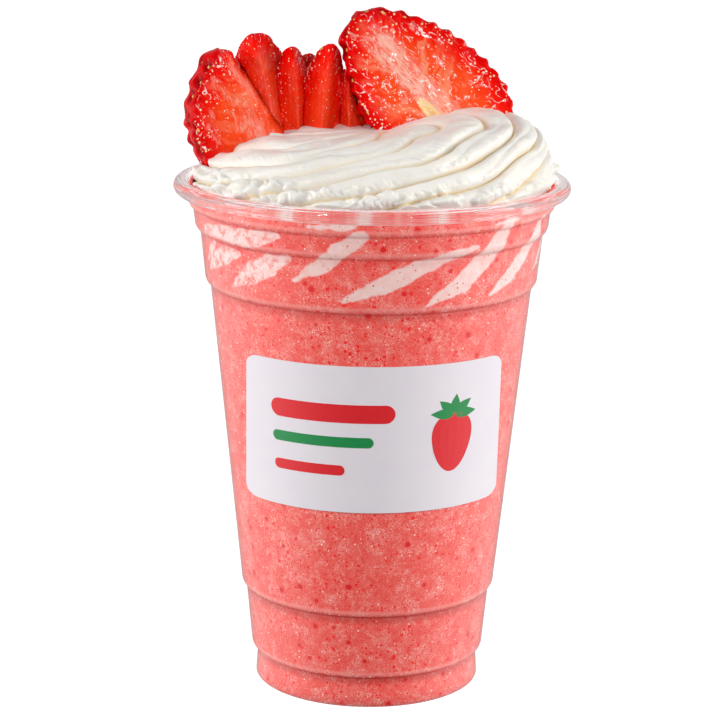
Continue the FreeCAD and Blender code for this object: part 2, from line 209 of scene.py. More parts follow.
# Name, place, height of what it is aimed at, width, all in metres, and power in watts.
LAMPS = (("lamp_right", (0.97, -0.22, 0.34), 0.10, 0.50, 6.4),
         ("lamp_left", (-0.97, -0.20, 0.32), 0.10, 0.50, 5.8),
         ("lamp_top", (0.20, 0.10, 1.00), 0.12, 0.22, 0.5),
         ("lamp_glint_right", (0.36, -0.84, 0.52), 0.14, 0.07, 2.0),
         ("lamp_glint_left", (-0.42, -0.76, 0.56), 0.14, 0.07, 1.9))
for lamp_name, lamp_place, aim_height, lamp_width, power in LAMPS:
    lamp_data = bpy.data.lights.new(lamp_name, "AREA")
    lamp_data.shape = "SQUARE"
    lamp_data.size = lamp_width
    lamp_data.energy = power
    lamp = bpy.data.objects.new(lamp_name, lamp_data)
    SCENE.collection.objects.link(lamp)
    aim = Vector((0.0, 0.0, aim_height)) - Vector(lamp_place)
    lamp.matrix_world = (Matrix.Translation(lamp_place)
                         @ aim.to_track_quat("-Z", "Y").to_matrix().to_4x4())

TABLE_RINGS = (0.05, 0.2, 0.8, 5.0)
TABLE_STEPS = 96
table_form = bmesh.new()
previous = None
for radius in TABLE_RINGS:
    angles = [step * math.tau / TABLE_STEPS for step in range(TABLE_STEPS)]
    ring = [table_form.verts.new((radius * math.cos(angle), radius * math.sin(angle), 0.0))
            for angle in angles]
    if previous is None:
        table_form.faces.new(ring)
    else:
        for step in range(TABLE_STEPS):
            after = (step + 1) % TABLE_STEPS
            table_form.faces.new((previous[step], ring[step], ring[after], previous[after]))
    previous = ring
table_mesh = bpy.data.meshes.new("table_top")
table_form.to_mesh(table_mesh)
table_form.free()
table_top = bpy.data.objects.new("table_top", table_mesh)
SCENE.collection.objects.link(table_top)
pale = Finish("pale_table")
table_tone = pale.grain(pale.place(), 0.12)
pale.put(pale.shader, {"Base Color": pale.mixed(table_tone, colour(150, 150, 150),
                                                colour(154, 154, 154)),
                       "Roughness": 0.9, "Specular IOR Level": 0.1,
                       "Emission Color": (1.0, 1.0, 1.0, 1.0), "Emission Strength": 0.93})
table_mesh.materials.append(pale.material)
table_top.visible_diffuse = False
table_top.visible_glossy = False


# ---------------------------------------------------------------- the cup
# A clear PET cup, vacuum-formed in one skin 0.55 mm thick, with rolled rim, stacking rings
# and a raised floor. It keeps the frame's own form and takes a clear, very smooth plastic
# with the faint waviness that forming leaves.
CUP_WALL = 0.55
FOOT_RADIUS, FOOT_EDGE, FOOT_LAND = 28.24, 0.83, 2.2
FLOOR_LIFT, FLOOR_SLOPE = 2.6, 1.1
MOUTH_RADIUS = 45.2
RIM_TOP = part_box("cup")[1].z / MM
FILL_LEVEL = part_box("milkshake")[1].z / MM
# A ring: wall radius under it, height of its corner, how far it steps out, and its rise.
CUP_RINGS = (
    (FOOT_RADIUS - 0.43, 7.77, 1.58, 1.64),
    (FOOT_RADIUS + 2.61, 24.42, 1.13, 1.67),
    (MOUTH_RADIUS - 5.32, RIM_TOP - 26.10, 1.35, 2.33),
    (MOUTH_RADIUS - 2.79, RIM_TOP - 12.60, 1.31, 2.22),
    (MOUTH_RADIUS - 1.04, RIM_TOP - 6.92, 1.04, 1.53),
)

# The stretched plastic of the rolled rim is a little cloudy.
ROLL_DEEP, ROLL_HAZE = 3.6, 0.07
# Fine lines run round the roll, where the skin was turned over hot.
ROLL_LINE = 0.62
# White lines are painted round the roll where its highlight lines run, as painted highlights:
# down from the top, half width and share.
ROLL_HIGHLIGHTS = ((3.36, 0.16, 0.7), (2.3, 0.14, 0.2), (0.12, 0.12, 0.35))
plastic = Finish("clear_plastic")
spot = plastic.place()
waviness = plastic.grain(spot, 9 * MM, 1.0)
scuffs = plastic.grain(spot, 1.3 * MM, 3.0, 0.6, 1.5)
height = plastic.height(spot)
in_roll = plastic.span(height, (RIM_TOP - ROLL_DEEP) * MM, (RIM_TOP - ROLL_DEEP + 0.6) * MM)
roll_lines = plastic.times(height, math.tau / (ROLL_LINE * MM))
roll_lines = plastic.sum("MULTIPLY_ADD", plastic.sum("SINE", roll_lines), 0.5, 0.5)
even_skin = plastic.bump(waviness, 0.08 * MM)
plastic.put(plastic.shader, {
    "Base Color": (1.0, 1.0, 1.0, 1.0), "Transmission Weight": 1.0, "IOR": 1.5,
    "Roughness": plastic.span(scuffs, 0.55, 0.75, 0.03, 0.09),
    "Normal": plastic.bump(roll_lines, 0.03 * MM, in_roll, even_skin)})
cloudy = plastic.add("BsdfTranslucent", {"Color": (1.0, 1.0, 1.0, 1.0)})
surface = plastic.add("MixShader", {0: plastic.times(in_roll, ROLL_HAZE),
                                    1: plastic.shader.outputs[0], 2: cloudy.outputs[0]})
# Painted highlight: white diffuse lines mixed into the roll's plastic.
roll_highlight_white = plastic.add("BsdfDiffuse", {"Color": (1.0, 1.0, 1.0, 1.0)})
for down, half, share in ROLL_HIGHLIGHTS:
    off = plastic.away(height, (RIM_TOP - down) * MM)
    share = plastic.span(off, half * MM, 0.4 * half * MM, 0.0, share)
    surface = plastic.add("MixShader", {0: share, 1: surface.outputs[0],
                                        2: roll_highlight_white.outputs[0]})
lamp_light = plastic.add("BsdfTransparent", {"Color": (1.0, 1.0, 1.0, 1.0)})
ray = plastic.add("LightPath", {}).outputs
lamp_or_eye = plastic.add("MixShader", {
    0: plastic.sum("MAXIMUM", ray["Is Shadow Ray"], ray["Is Diffuse Ray"]),
    1: surface.outputs[0], 2: lamp_light.outputs[0]})
plastic.links.new(lamp_or_eye.outputs[0], plastic.output.inputs["Surface"])


def dress(node, finish):
    """Give a node of the frame its finish."""
    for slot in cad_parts[node].material_slots:
        slot.material = finish.material


dress("cup", plastic)


# ---------------------------------------------------------------- the label
# A sticker of coated white paper with rounded corners, laid round the plain wall. Its print
# is plain bars and a little strawberry in red and green ink, a few hundredths of a
# millimetre thick, and it names nothing.
LABEL_THICKNESS = 0.15
LABEL_TURN = 2.5
LABEL_MIDDLE = (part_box("label")[0].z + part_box("label")[1].z) / 2 / MM
INK_LIFT, INK_THICKNESS = 0.03, 0.03
WALL_FROM = (CUP_RINGS[1][0] + CUP_RINGS[1][2], CUP_RINGS[1][1] + CUP_RINGS[1][3])
WALL_TO = (CUP_RINGS[2][0], CUP_RINGS[2][1])

label_paper = Finish("label_paper")
spot = label_paper.place()
fibre = label_paper.grain(spot, 0.35 * MM, 4.0, 0.65)
label_paper.put(label_paper.shader, {
    "Base Color": label_paper.mixed(label_paper.grain(spot, 6 * MM, 2.0),
                                    colour(226, 219, 226), colour(232, 226, 231)),
    "Roughness": label_paper.span(fibre, 0.3, 0.7, 0.42, 0.55),
    "Specular IOR Level": 0.35, "Normal": label_paper.bump(fibre, 0.012 * MM)})
dress("label", label_paper)


def piece_of(name, points, faces, finish, smooth=True):
    """A new piece of the object: a mesh in metres with one finish, riding on the cup."""
    mesh = bpy.data.meshes.new(name)
    mesh.from_pydata([tuple(point) for point in points], [], [tuple(face) for face in faces])
    mesh.validate()
    mesh.update()
    mesh.polygons.foreach_set("use_smooth", [smooth] * len(mesh.polygons))
    mesh.materials.append(finish.material)
    piece = bpy.data.objects.new(name, mesh)
    SCENE.collection.objects.link(piece)
    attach(piece, "root")
    return piece


def net_faces(columns, rows, closed=True, first=0):
    """Quads of a net of points that is stored column by column."""
    faces = []
    for column in range(columns if closed else columns - 1):
        beside = (column + 1) % columns
        for row in range(rows - 1):
            faces.append((first + column * rows + row, first + beside * rows + row,
                          first + beside * rows + row + 1, first + column * rows + row + 1))
    return faces


def store(piece, name, numbers):
    """Keep a number for each point of a piece, for its finish to read."""
    layer = piece.data.attributes.new(name, "FLOAT", "POINT")
    layer.data.foreach_set("value", np.asarray(numbers, dtype=np.float32))


def wall_radius(height):
    """Outside of the plain wall, in mm, at a height in mm."""
    share = (height - WALL_FROM[1]) / (WALL_TO[1] - WALL_FROM[1])
    return WALL_FROM[0] + (WALL_TO[0] - WALL_FROM[0]) * share


def on_label(across, up):
    """A point of the print, across and up in mm from the middle of the label."""
    turn = math.radians(LABEL_TURN - 90) + across / wall_radius(LABEL_MIDDLE)
    height = LABEL_MIDDLE + up
    radius = wall_radius(height) + LABEL_THICKNESS + INK_LIFT
    return (radius * MM * math.cos(turn), radius * MM * math.sin(turn), height * MM)


def ink(name, red, green, blue):
    """Printing ink on coated paper: nearly flat in colour, with a slight mottle."""
    finish = Finish(name)
    mottle = finish.grain(finish.place(), 0.5 * MM, 3.0)
    finish.put(finish.shader, {
        "Base Color": finish.mixed(mottle, colour(red, green, blue),
                                   colour(min(255, red + 14), green + 8, blue + 8)),
        "Roughness": 0.4})
    return finish


def printed(name, patches, finish):
    """Print made of patches, each a list of rows of points (across, up) of equal length."""
    points, faces = [], []
    for rows in patches:
        wide = len(rows[0])
        first = len(points)
        points += [on_label(across, up) for row in rows for across, up in row]
        faces += net_faces(len(rows), wide, False, first)
    piece = piece_of(name, points, faces, finish, False)
    thick = piece.modifiers.new("ink", "SOLIDIFY")
    thick.thickness = INK_THICKNESS * MM
    thick.offset = 0.0


def bar(left, right, middle, height):
    """A bar with round ends."""
    half = height / 2
    rows = []
    for step in range(61):
        share = 0.5 - 0.5 * math.cos(math.pi * step / 60)
        across = left + (right - left) * share
        near_end = max(0.0, half - min(across - left, right - across))
        tall = math.sqrt(max(0.0, half ** 2 - near_end ** 2)) + 0.001
        rows.append([(across, middle - tall), (across, middle), (across, middle + tall)])
    return rows


def blade(start, end, width):
    """A pointed leaf from start to end."""
    rows = []
    run, climb = end[0] - start[0], end[1] - start[1]
    length = math.hypot(run, climb)
    for step in range(13):
        share = step / 12
        half = width / 2 * math.sin(math.pi * share ** 0.75) + 0.001
        across, up = start[0] + run * share, start[1] + climb * share
        aside, above = -climb / length * half, run / length * half
        rows.append([(across + aside, up + above), (across - aside, up - above)])
    return rows


BERRY_MARK = (19.5, -1.5)
BERRY_MARK_WIDTH, BERRY_MARK_HEIGHT = 13.0, 15.0
BARS = ((-26.5, 4.5, 6.6, 4.6), (-26.5, -7.5, -7.8, 2.6))
THIN_BAR = (-26.5, -0.5, -0.6, 2.6)
berry_rows = []
for step in range(29):
    share = 0.5 - 0.5 * math.cos(math.pi * step / 28)
    full = (1 - (1 - share) ** 2.0) ** 0.5 * (1 - share ** 5) ** 0.5
    half = BERRY_MARK_WIDTH / 2 * full + 0.001
    up = BERRY_MARK[1] - BERRY_MARK_HEIGHT / 2 + BERRY_MARK_HEIGHT * share
    berry_rows.append([(BERRY_MARK[0] + half * place, up)
                       for place in (-1.0, -0.6, -0.2, 0.2, 0.6, 1.0)])
leaf_foot = (BERRY_MARK[0], BERRY_MARK[1] + BERRY_MARK_HEIGHT / 2 - 0.4)
leaf_ends = ((-6.4, 0.4), (-4.2, 3.6), (0.3, 5.0), (4.6, 3.4), (6.4, 0.2))
red_ink = ink("red_ink", 214, 24, 34)
green_ink = ink("green_ink", 12, 132, 66)
printed("label_red_print", [bar(*sizes) for sizes in BARS] + [berry_rows], red_ink)
leaves = [blade(leaf_foot, (leaf_foot[0] + out, leaf_foot[1] + up), 2.6)
          for out, up in leaf_ends]
printed("label_green_print", [bar(*THIN_BAR)] + leaves, green_ink)


# ---------------------------------------------------------------- the milkshake
# Strawberry milk blended thick, with crushed berry and air in it. It fills the cup to the
# cream and wets the wall, so its outside reaches half way into the plastic. Cream that ran
# down the inside of the wall shows as pale slanting streaks under the rim.
INTO_WALL = 0.27
# The film of drink that clings to the wall above the fill.
FILM_HEIGHT, FILM_THICKNESS = 3.0, 0.40
# Radii of the rings of the drink's level top, from the wall to the middle.
DRINK_TOP = (43.2, 41.8, 36.0, 24.0, 10.0, 0.0)


def drink_profile():
    """Radius and height, in mm, from the middle of the floor up to the surface."""
    outer = []
    for radius, height, step, rise in CUP_RINGS:
        bend = (step ** 2 + rise ** 2) / (2 * step)
        outer.append((radius, height))
        for share in (0.12, 0.25, 0.4, 0.55, 0.7, 0.85, 1.0):
            up = rise * share
            out = radius + step - bend + math.sqrt(bend ** 2 - (rise - up) ** 2)
            outer.append((out, height + up))
    depth = CUP_WALL - INTO_WALL
    land_inside = FOOT_RADIUS - FOOT_EDGE - FOOT_LAND
    corners = [(0.0, FLOOR_LIFT + depth), (land_inside - FLOOR_SLOPE, FLOOR_LIFT + depth),
               (land_inside + CUP_WALL, depth), (FOOT_RADIUS - FOOT_EDGE, depth),
               (FOOT_RADIUS - depth, FOOT_EDGE + depth)]
    corners += [(radius - depth, height) for radius, height in outer]
    corners.append((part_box("milkshake")[1].x / MM + INTO_WALL, FILL_LEVEL))
    profile = [corners[0]]
    for start, end in zip(corners, corners[1:]):
        longest = 0.45 if start[1] > STREAKS_FROM - 3 else 2.4
        parts = max(1, math.ceil(math.dist(start, end) / longest))
        for part in range(1, parts + 1):
            profile.append((start[0] + (end[0] - start[0]) * part / parts,
                            start[1] + (end[1] - start[1]) * part / parts))
    inside = MOUTH_RADIUS - CUP_WALL
    for share in (0.25, 0.5, 0.75, 1.0):
        profile.append((inside + INTO_WALL, FILL_LEVEL + share * FILM_HEIGHT))
    profile.append((inside - 0.1, FILL_LEVEL + FILM_HEIGHT + 0.1))
    for share in (0.9, 0.5, 0.0):
        profile.append((inside - FILM_THICKNESS, FILL_LEVEL + share * FILM_HEIGHT))
    profile += [(radius, FILL_LEVEL) for radius in DRINK_TOP]
    return profile


STREAKS_FROM = 103.0
STREAK_RADIUS = 43.0
# Each streak runs through points of (degrees to the right of the front, height, half width).
STREAKS = [
    [(-66, 118.0, 1.2), (-54, 118.4, 2.1), (-40, 118.4, 2.3), (-30, 120.2, 1.0)],
    [(-48, 113.8, 0.7), (-56, 112.6, 2.4), (-64, 110.4, 2.0), (-70, 107.8, 0.5)],
    [(-28, 114.6, 1.0), (-35, 112.6, 2.7), (-43, 109.6, 2.6), (-53, 105.6, 0.5)],
    [(-3, 121.4, 1.6), (-7, 119.0, 2.0), (-12, 116.2, 2.3), (-18, 112.8, 1.8),
     (-26, 109.6, 0.5)],
    [(-19, 123.3, 0.4), (-11, 123.6, 0.9), (-5, 124.0, 0.6)],
    [(35, 117.6, 0.5), (26, 116.0, 1.3), (15, 113.2, 2.1), (4, 109.2, 2.4),
     (-9, 105.4, 0.6)],
    [(46, 121.6, 2.0), (43, 117.6, 2.7), (38, 113.4, 2.8), (31, 109.0, 2.5),
     (18, 103.8, 0.5)],
    [(40, 122.8, 0.4), (46, 123.1, 0.8), (52, 123.4, 0.3)],
    [(67, 121.4, 1.4), (66, 117.4, 2.3), (60, 113.2, 2.2), (52, 108.8, 2.0),
     (43, 104.9, 0.5)],
    [(84, 120.0, 0.8), (81, 116.0, 1.7), (75, 110.0, 1.1), (71, 108.0, 0.3)],
    [(-63, 115.0, 0.8), (-67, 112.6, 1.2), (-72, 109.6, 0.3)],
    [(-33, 124.2, 0.2), (-27, 125.2, 0.7), (-21, 126.6, 0.5)],
    [(-15, 124.0, 0.2), (-8, 124.8, 0.7), (-2, 125.8, 0.8), (4, 127.0, 0.5)],
    [(12, 124.2, 0.2), (19, 125.4, 0.6), (26, 126.8, 0.4)],
    [(44, 124.2, 0.3), (51, 125.4, 0.8), (58, 126.8, 0.4)],
]
random_streaks = np.random.default_rng(11)
for turn in range(104, 284, 26):
    start = turn + random_streaks.uniform(-5, 5)
    fall = random_streaks.uniform(18, 26)
    full = random_streaks.uniform(1.5, 2.5)
    STREAKS.append([(start, 120.5, 0.7 * full), (start - 0.3 * fall, 115.0, full),
                    (start - 0.7 * fall, 110.0, 0.8 * full), (start - fall, 106.0, 0.3)])


def closed_faces(columns, rows):
    """Faces of a net closed at both ends by two more points, one below it and one above."""
    faces = net_faces(columns, rows)
    below = columns * rows
    for column in range(columns):
        beside = (column + 1) % columns
        faces.append((below, beside * rows, column * rows))
        faces.append((below + 1, column * rows + rows - 1, beside * rows + rows - 1))
    return faces


def streak_cover(turns, heights):
    """How far, in mm, points of the wall lie inside the nearest streak of cream."""
    best = np.full(len(turns), -9.0)
    for streak in STREAKS:
        for start, end in zip(streak, streak[1:]):
            away = (turns - start[0] + 180) % 360 - 180
            across = np.radians(away) * STREAK_RADIUS
            along = heights - start[1]
            run = math.radians(end[0] - start[0]) * STREAK_RADIUS
            drop = end[1] - start[1]
            share = np.clip((across * run + along * drop) / (run ** 2 + drop ** 2), 0, 1)
            gap = np.hypot(across - share * run, along - share * drop)
            best = np.maximum(best, start[2] + (end[2] - start[2]) * share - gap)
    return best


profile = drink_profile()
DRINK_COLUMNS = 640
drink_points = []
for column in range(DRINK_COLUMNS):
    angle = math.tau * column / DRINK_COLUMNS
    across = Vector((math.cos(angle), math.sin(angle), 0.0))
    clings = 0.88 + 0.5 * noise.noise(across * 6.0) + 0.12 * noise.noise(across * 19.0)
    clings = min(1.0, max(0.55, clings))
    for radius, height in profile[1:-1]:
        if height > FILL_LEVEL:
            height = FILL_LEVEL + (height - FILL_LEVEL) * clings
        drink_points.append((*(across.xy * radius * MM), height * MM))
drink_points += [(0, 0, profile[0][1] * MM), (0, 0, profile[-1][1] * MM)]
drink_faces = closed_faces(DRINK_COLUMNS, len(profile) - 2)

# How dark the painted shade in the drink's fold at each ring is, from the foot up. Then, in
# mm, how wide the fold is, where its wider painted shade lies and how wide, and how far up the
# painted highlight line over it is.
PAINTED_FOLD_SHADES = (0.7, 0.7, 0.45, 0.3, 0.25)
FOLD_WIDE, SHADE_DOWN, SHADE_WIDE, HIGHLIGHT_UP = 0.6, -0.9, 1.8, 1.3
milk = Finish("strawberry_milk")
spot = milk.place()
milk_tone = milk.mixed(milk.grain(spot, 14 * MM, 3.0), colour(238, 66, 56),
                       colour(246, 88, 78))
clouds = milk.span(milk.grain(spot, 3.2 * MM, 4.0, 0.65), 0.45, 0.75)
milk_tone = milk.laid(milk_tone, milk.times(clouds, 0.45), 250, 146, 138)
froth = milk.span(milk.grain(spot, 0.42 * MM, 3.0, 0.7), 0.50, 0.66, 0.0, 0.5)
milk_tone = milk.laid(milk_tone, froth, 255, 160, 146)
pulp = milk.grain(spot, 0.55 * MM, 2.0, 0.6)
milk_tone = milk.laid(milk_tone, milk.span(pulp, 0.60, 0.70, 0.0, 0.6), 232, 36, 32)
for size, gather, where in ((1.3, 4.1, 0.50), (0.9, 2.7, 0.52)):
    threads = milk.away(milk.grain(spot, size * MM, 1.0, 0.5, 2.0), 0.5)
    gathered = milk.span(milk.grain(spot, gather * MM, 2.0), where, where + 0.08)
    threads = milk.times(milk.span(threads, 0.030, 0.010), gathered, 0.65)
    milk_tone = milk.laid(milk_tone, threads, 255, 208, 198)
milk_tone = milk.laid(milk_tone, milk.spots(spot, 1.5 * MM, 0.24 * MM, 0.5), 255, 226, 218)
for cell, radius, share in ((0.95, 0.30, 0.45), (1.9, 0.48, 0.5)):
    specks = milk.spots(spot, cell * MM, radius * MM, share)
    milk_tone = milk.laid(milk_tone, specks, 246, 10, 8)
crushed = milk.times(milk.spots(spot, 3.9 * MM, 1.25 * MM, 0.6), 0.4)
milk_tone = milk.laid(milk_tone, crushed, 240, 40, 36)
milk_tone = milk.laid(milk_tone, milk.spots(spot, 3.9 * MM, 0.80 * MM, 0.6), 228, 0, 4)
# The streaks of cream have feathered edges and holes.
cover = milk.kept("streak")
for size, share in ((1.1, 0.6), (3.6, 2.0)):
    ragged = milk.sum("SUBTRACT", milk.grain(spot, size * MM, 2.0, 0.5), 0.5)
    cover = milk.sum("MULTIPLY_ADD", ragged, share, cover)
cover = milk.span(cover, -0.3, 0.45)
streak_tone = milk.mixed(milk.grain(spot, 1.7 * MM, 3.0, 0.6), colour(243, 190, 182),
                         colour(250, 236, 232))
streak_tone = milk.laid(streak_tone, milk.spots(spot, 0.9 * MM, 0.26 * MM, 0.6), 236, 104, 74)
# To the left the cream has half blended in.
blended = milk.span(milk.grain(spot, 2.0 * MM, 3.0, 0.6), 0.44, 0.68, 0.0, 0.8)
to_left = milk.span(milk.add("SeparateXYZ", {"Vector": spot}).outputs["X"], -12 * MM,
                    -24 * MM, 0.12, 1.0)
cover = milk.times(cover, milk.sum("SUBTRACT", 0.92, milk.times(blended, to_left)))
milk_tone = milk.mixed(cover, milk_tone, streak_tone)
# Painted shade: the drink is painted darker in the fold under each ring of the cup.
height = milk.height(spot)
for (_, corner, _, _), full in zip(CUP_RINGS, PAINTED_FOLD_SHADES):
    for up, wide, shade in ((SHADE_DOWN, SHADE_WIDE, 0.5 * full), (0.0, FOLD_WIDE, full)):
        off = milk.away(height, (corner + up) * MM)
        painted_fold_shade = milk.span(off, wide * MM, 0.1 * MM, 0.0, shade)
        milk_tone = milk.laid(milk_tone, painted_fold_shade, 186, 22, 14)
    # Painted highlight: a pale line over each fold, where the ring's round catches light.
    off = milk.away(height, (corner + HIGHLIGHT_UP) * MM)
    milk_highlight_line = milk.span(off, 0.8 * MM, 0.1 * MM, 0.0, 0.28)
    milk_tone = milk.laid(milk_tone, milk_highlight_line, 255, 190, 180)
# Painted shade: the drink is painted darker red where its surface is seen edge on.
edge_on = milk.add("LayerWeight", {"Blend": 0.5}).outputs["Facing"]
milk_tone = milk.laid(milk_tone, milk.span(edge_on, 0.78, 1.0, 0.0, 0.8), 205, 30, 20)
milk.put(milk.shader, {"Base Color": milk_tone, "Roughness": 0.38,
                       "Specular IOR Level": 0.35,
                       "Normal": milk.bump(pulp, 0.05 * MM)})

drink = piece_of("drink", drink_points, drink_faces, milk)
drink_co = np.array(drink_points) / MM
drink_turns = np.degrees(np.arctan2(drink_co[:, 0], -drink_co[:, 1]))
drink_radii = np.hypot(drink_co[:, 0], drink_co[:, 1])
drink_cover = np.where((drink_co[:, 2] > STREAKS_FROM - 2) & (drink_radii > 38),
                       streak_cover(drink_turns, drink_co[:, 2]), -9.0)
store(drink, "streak", np.maximum(drink_cover, -4.0))
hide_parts("milkshake")


# ---------------------------------------------------------------- the whipped cream
# Cold whipped cream, piped by hand through a closed star nozzle as ropes that wind up from
# the edge to the middle. It is soft and moist, with fine nicks along the ropes' backs where
# the nozzle's teeth let go, and painted shade, a warm yellow-beige, down in the grooves.
CREAM_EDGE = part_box("milkshake")[1].x / MM - 1.1
CREAM_HEIGHT, CREAM_SWELL, SWELL_TURN = 15.6, 8.2, -4.0
CREAM_ROUND, CREAM_ROUND_FULL = 2.2, 0.9
CREAM_CROWN = 4.0
ROPE_COUNT, ROPE_RINGS, ROPE_SPREAD = 8, 4.5, 1.6
ROPE_DEPTH, ROPE_ROUND, ROPE_FADE = 2.8, 0.76, 0.09
ROPE_OVERLAP, ROPE_SWAY = 0.07, 0.085
ROPE_DIVE, DIVE_TURN, DIVE_SPREAD = 0.5, -122.0, 16.0
# Nicks along the ropes' backs, fins between them, and lumps and nibs all over, in mm. The
# nicks' place and width are shares of a rope.
NICK_LENGTH, NICK_DEPTH, NICK_AT, NICK_WIDE = 0.8, 1.1, 0.30, 0.13
FIN_RISE, LUMP_SIZE, LUMP_RISE, NIB_SIZE, NIB_RISE = 0.75, 4.6, 0.55, 1.3, 0.10
# Above this height over the fill the cream may lean out over the rim.
RIM_CLEAR = 3.4
CREAM_COLUMNS, CREAM_ROWS = 560, 170
# How much closer together the net's columns stand in front than on average.
FRONT_CLOSER = 0.5


def cream_form(around, up):
    """Points of the piped mound in mm, and how deep in a groove and how far up each lies."""
    fullness = (0.5 + 0.5 * np.cos(np.radians(around - SWELL_TURN))) ** 2 * (1 - up ** 4)
    tall = CREAM_HEIGHT + CREAM_SWELL * fullness
    power = 2 / (CREAM_ROUND + CREAM_ROUND_FULL * fullness)
    tilt = up * np.arccos((CREAM_CROWN / CREAM_EDGE) ** (1 / power))
    reach = CREAM_EDGE * np.cos(tilt) ** power
    rise = tall * np.sin(tilt) ** power
    started = np.tanh((around - DIVE_TURN) / DIVE_SPREAD)
    crossed = ROPE_RINGS * (1 - (1 - up) ** ROPE_SPREAD)
    phase = crossed - ROPE_COUNT * around / 360 - ROPE_DIVE * started * (1 - up)
    sway = np.sin(np.radians(around) * 7.0 + 9.0 * up) + 0.7 * np.sin(np.radians(around) * 11.0
                                                                     - 14.0 * up + 2.0)
    phase = phase + ROPE_SWAY * sway * np.minimum(1.0, up / 0.2)
    phase = phase + ROPE_OVERLAP * np.sin(math.tau * phase)
    back = np.abs(np.sin(np.pi * phase)) ** ROPE_ROUND
    faded = np.minimum(1.0, up / ROPE_FADE) * (1 - up ** 3)
    lift = ROPE_DEPTH * (back - 0.5) * faded
    along = np.radians(around) * reach + 0.35 * rise
    nicks = np.array([noise.noise(Vector((place / NICK_LENGTH, number * 2.6, 3.0)))
                      for place, number in zip(along, phase)])
    nicks = np.minimum(nicks, 0.1)
    nick_zone = np.exp(-((phase % 1.0 - NICK_AT) / NICK_WIDE) ** 2)
    nick_zone *= 0.35 + 0.65 * np.exp(-((around + 42) / 60) ** 2)
    lift = lift + NICK_DEPTH * nicks * nick_zone * faded
    fins = np.abs(np.sin(math.pi * 2 * phase + 0.7 * np.sin(along / 9.0)))
    lift = lift + FIN_RISE * (fins - 0.6) * faded * (0.6 + 0.4 * np.sin(along / 13.0 + phase))
    outward, upward = np.cos(tilt) / CREAM_EDGE, np.sin(tilt) / tall
    size = np.hypot(outward, upward)
    outward, upward = outward / size, upward / size
    return reach, rise, lift, outward, upward, 1 - back


def soft_noise(places, size, shift=(0, 0, 0)):
    """Random numbers at places, which change softly over about a size."""
    return np.array([noise.noise(Vector(place) / size + Vector(shift)) for place in places])


def edge_blobs(around, height):
    """How far the small blobs of cream along the edge stand out, in mm."""
    random_blobs = np.random.default_rng(5)
    best = np.zeros(len(around))
    turn = 0.0
    while turn < 360:
        wide, tall = random_blobs.uniform(2.0, 4.6), random_blobs.uniform(1.6, 2.8)
        middle, stand = random_blobs.uniform(3.6, 6.0), random_blobs.uniform(0.9, 2.0)
        lean = random_blobs.uniform(-0.5, 0.5)
        along = np.radians((around - turn + 180) % 360 - 180) * CREAM_EDGE
        along = along - lean * (height - middle)
        along = along + 0.5 * np.sin(2.3 * height + turn) + 0.3 * np.sin(4.1 * height - turn)
        up = height - middle + 0.5 * np.sin(1.9 * along + turn) + 0.25 * np.sin(4.7 * along)
        far = (along / wide) ** 2 + (up / tall) ** 2
        best = np.maximum(best, stand * np.maximum(0, 1 - far) ** 0.7)
        turn += random_blobs.uniform(0.75, 1.25) * math.degrees(2 * wide / CREAM_EDGE)
    return best


def cream_turns(share):
    """Turns of the net's columns in degrees, closer together towards the front."""
    turned = 90 + 360 * share + FRONT_CLOSER * np.degrees(np.sin(math.tau * share))
    return (turned + 180) % 360 - 180


cream_around, cream_up = np.meshgrid(
    cream_turns(np.arange(CREAM_COLUMNS) / CREAM_COLUMNS),
    np.linspace(0, 1, CREAM_ROWS), indexing="ij")
cream_around, cream_up = cream_around.ravel(), cream_up.ravel()
reach, rise, lift, outward, upward, groove = cream_form(cream_around, cream_up)
turn = np.radians(cream_around)
smooth_places = np.stack([reach * np.cos(turn), reach * np.sin(turn), rise], axis=1)
lumps = soft_noise(smooth_places, LUMP_SIZE)
nibs = soft_noise(smooth_places, NIB_SIZE, (9, 2, 5))
lift = lift + LUMP_RISE * lumps * np.minimum(1, cream_up / 0.05) * (1 - cream_up ** 6)
lift = lift + NIB_RISE * nibs * np.minimum(1, cream_up / 0.05)
lift = lift + edge_blobs(cream_around, rise)
reach, rise = reach + lift * outward, np.maximum(0.0, rise + lift * upward)
widest = MOUTH_RADIUS - CUP_WALL - FILM_THICKNESS - 0.1 + np.maximum(0.0, rise - RIM_CLEAR)
reach = np.minimum(reach, widest)
cream_points = np.stack([reach * np.cos(turn), reach * np.sin(turn), FILL_LEVEL + rise],
                        axis=1) * MM
crown_height = cream_points[CREAM_ROWS - 1::CREAM_ROWS, 2].mean()
cream_points = np.vstack([cream_points, [(0, 0, FILL_LEVEL * MM), (0, 0, crown_height)]])
cream_faces = closed_faces(CREAM_COLUMNS, CREAM_ROWS)

whipped = Finish("whipped_cream")
spot = whipped.place()
depth = whipped.kept("groove")
cream_tone = whipped.mixed(whipped.grain(spot, 11 * MM, 2.0), colour(236, 232, 224),
                           colour(243, 240, 234))
# Painted shade: the cream is painted warm yellow-beige down in the grooves.
cream_tone = whipped.laid(cream_tone, whipped.span(depth, 0.4, 1.0, 0.0, 0.85), 238, 212, 160)
air = whipped.grain(spot, 0.5 * MM, 3.0, 0.6)
whipped.put(whipped.shader, {
    "Base Color": cream_tone, "Roughness": 0.42, "Specular IOR Level": 0.45,
    "Subsurface Weight": 0.5, "Subsurface Radius": (1.0, 0.85, 0.6),
    "Subsurface Scale": 1.6 * MM,
    "Normal": whipped.bump(air, 0.05 * MM, 0.8)})
cream = piece_of("cream_swirl", cream_points, cream_faces, whipped)
store(cream, "groove", np.append(groove, [0, 0]))
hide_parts("whipped_cream")


# ---------------------------------------------------------------- the strawberries
# Ripe strawberries, hulled and cut lengthwise with a knife: one thick slice on the right and
# a fan of wedges on the left, standing in the cream. The cut faces have a red rim, pale veins,
# a white core and painted wet glints. The skin is glossy and dimpled, with a seed in each
# dimple.
STEM, WIDEST, NOSE, TAPER = 0.45, 0.36, 0.90, 0.46
FAN_FOOT = -22.95
FAN_BACK = 4.0
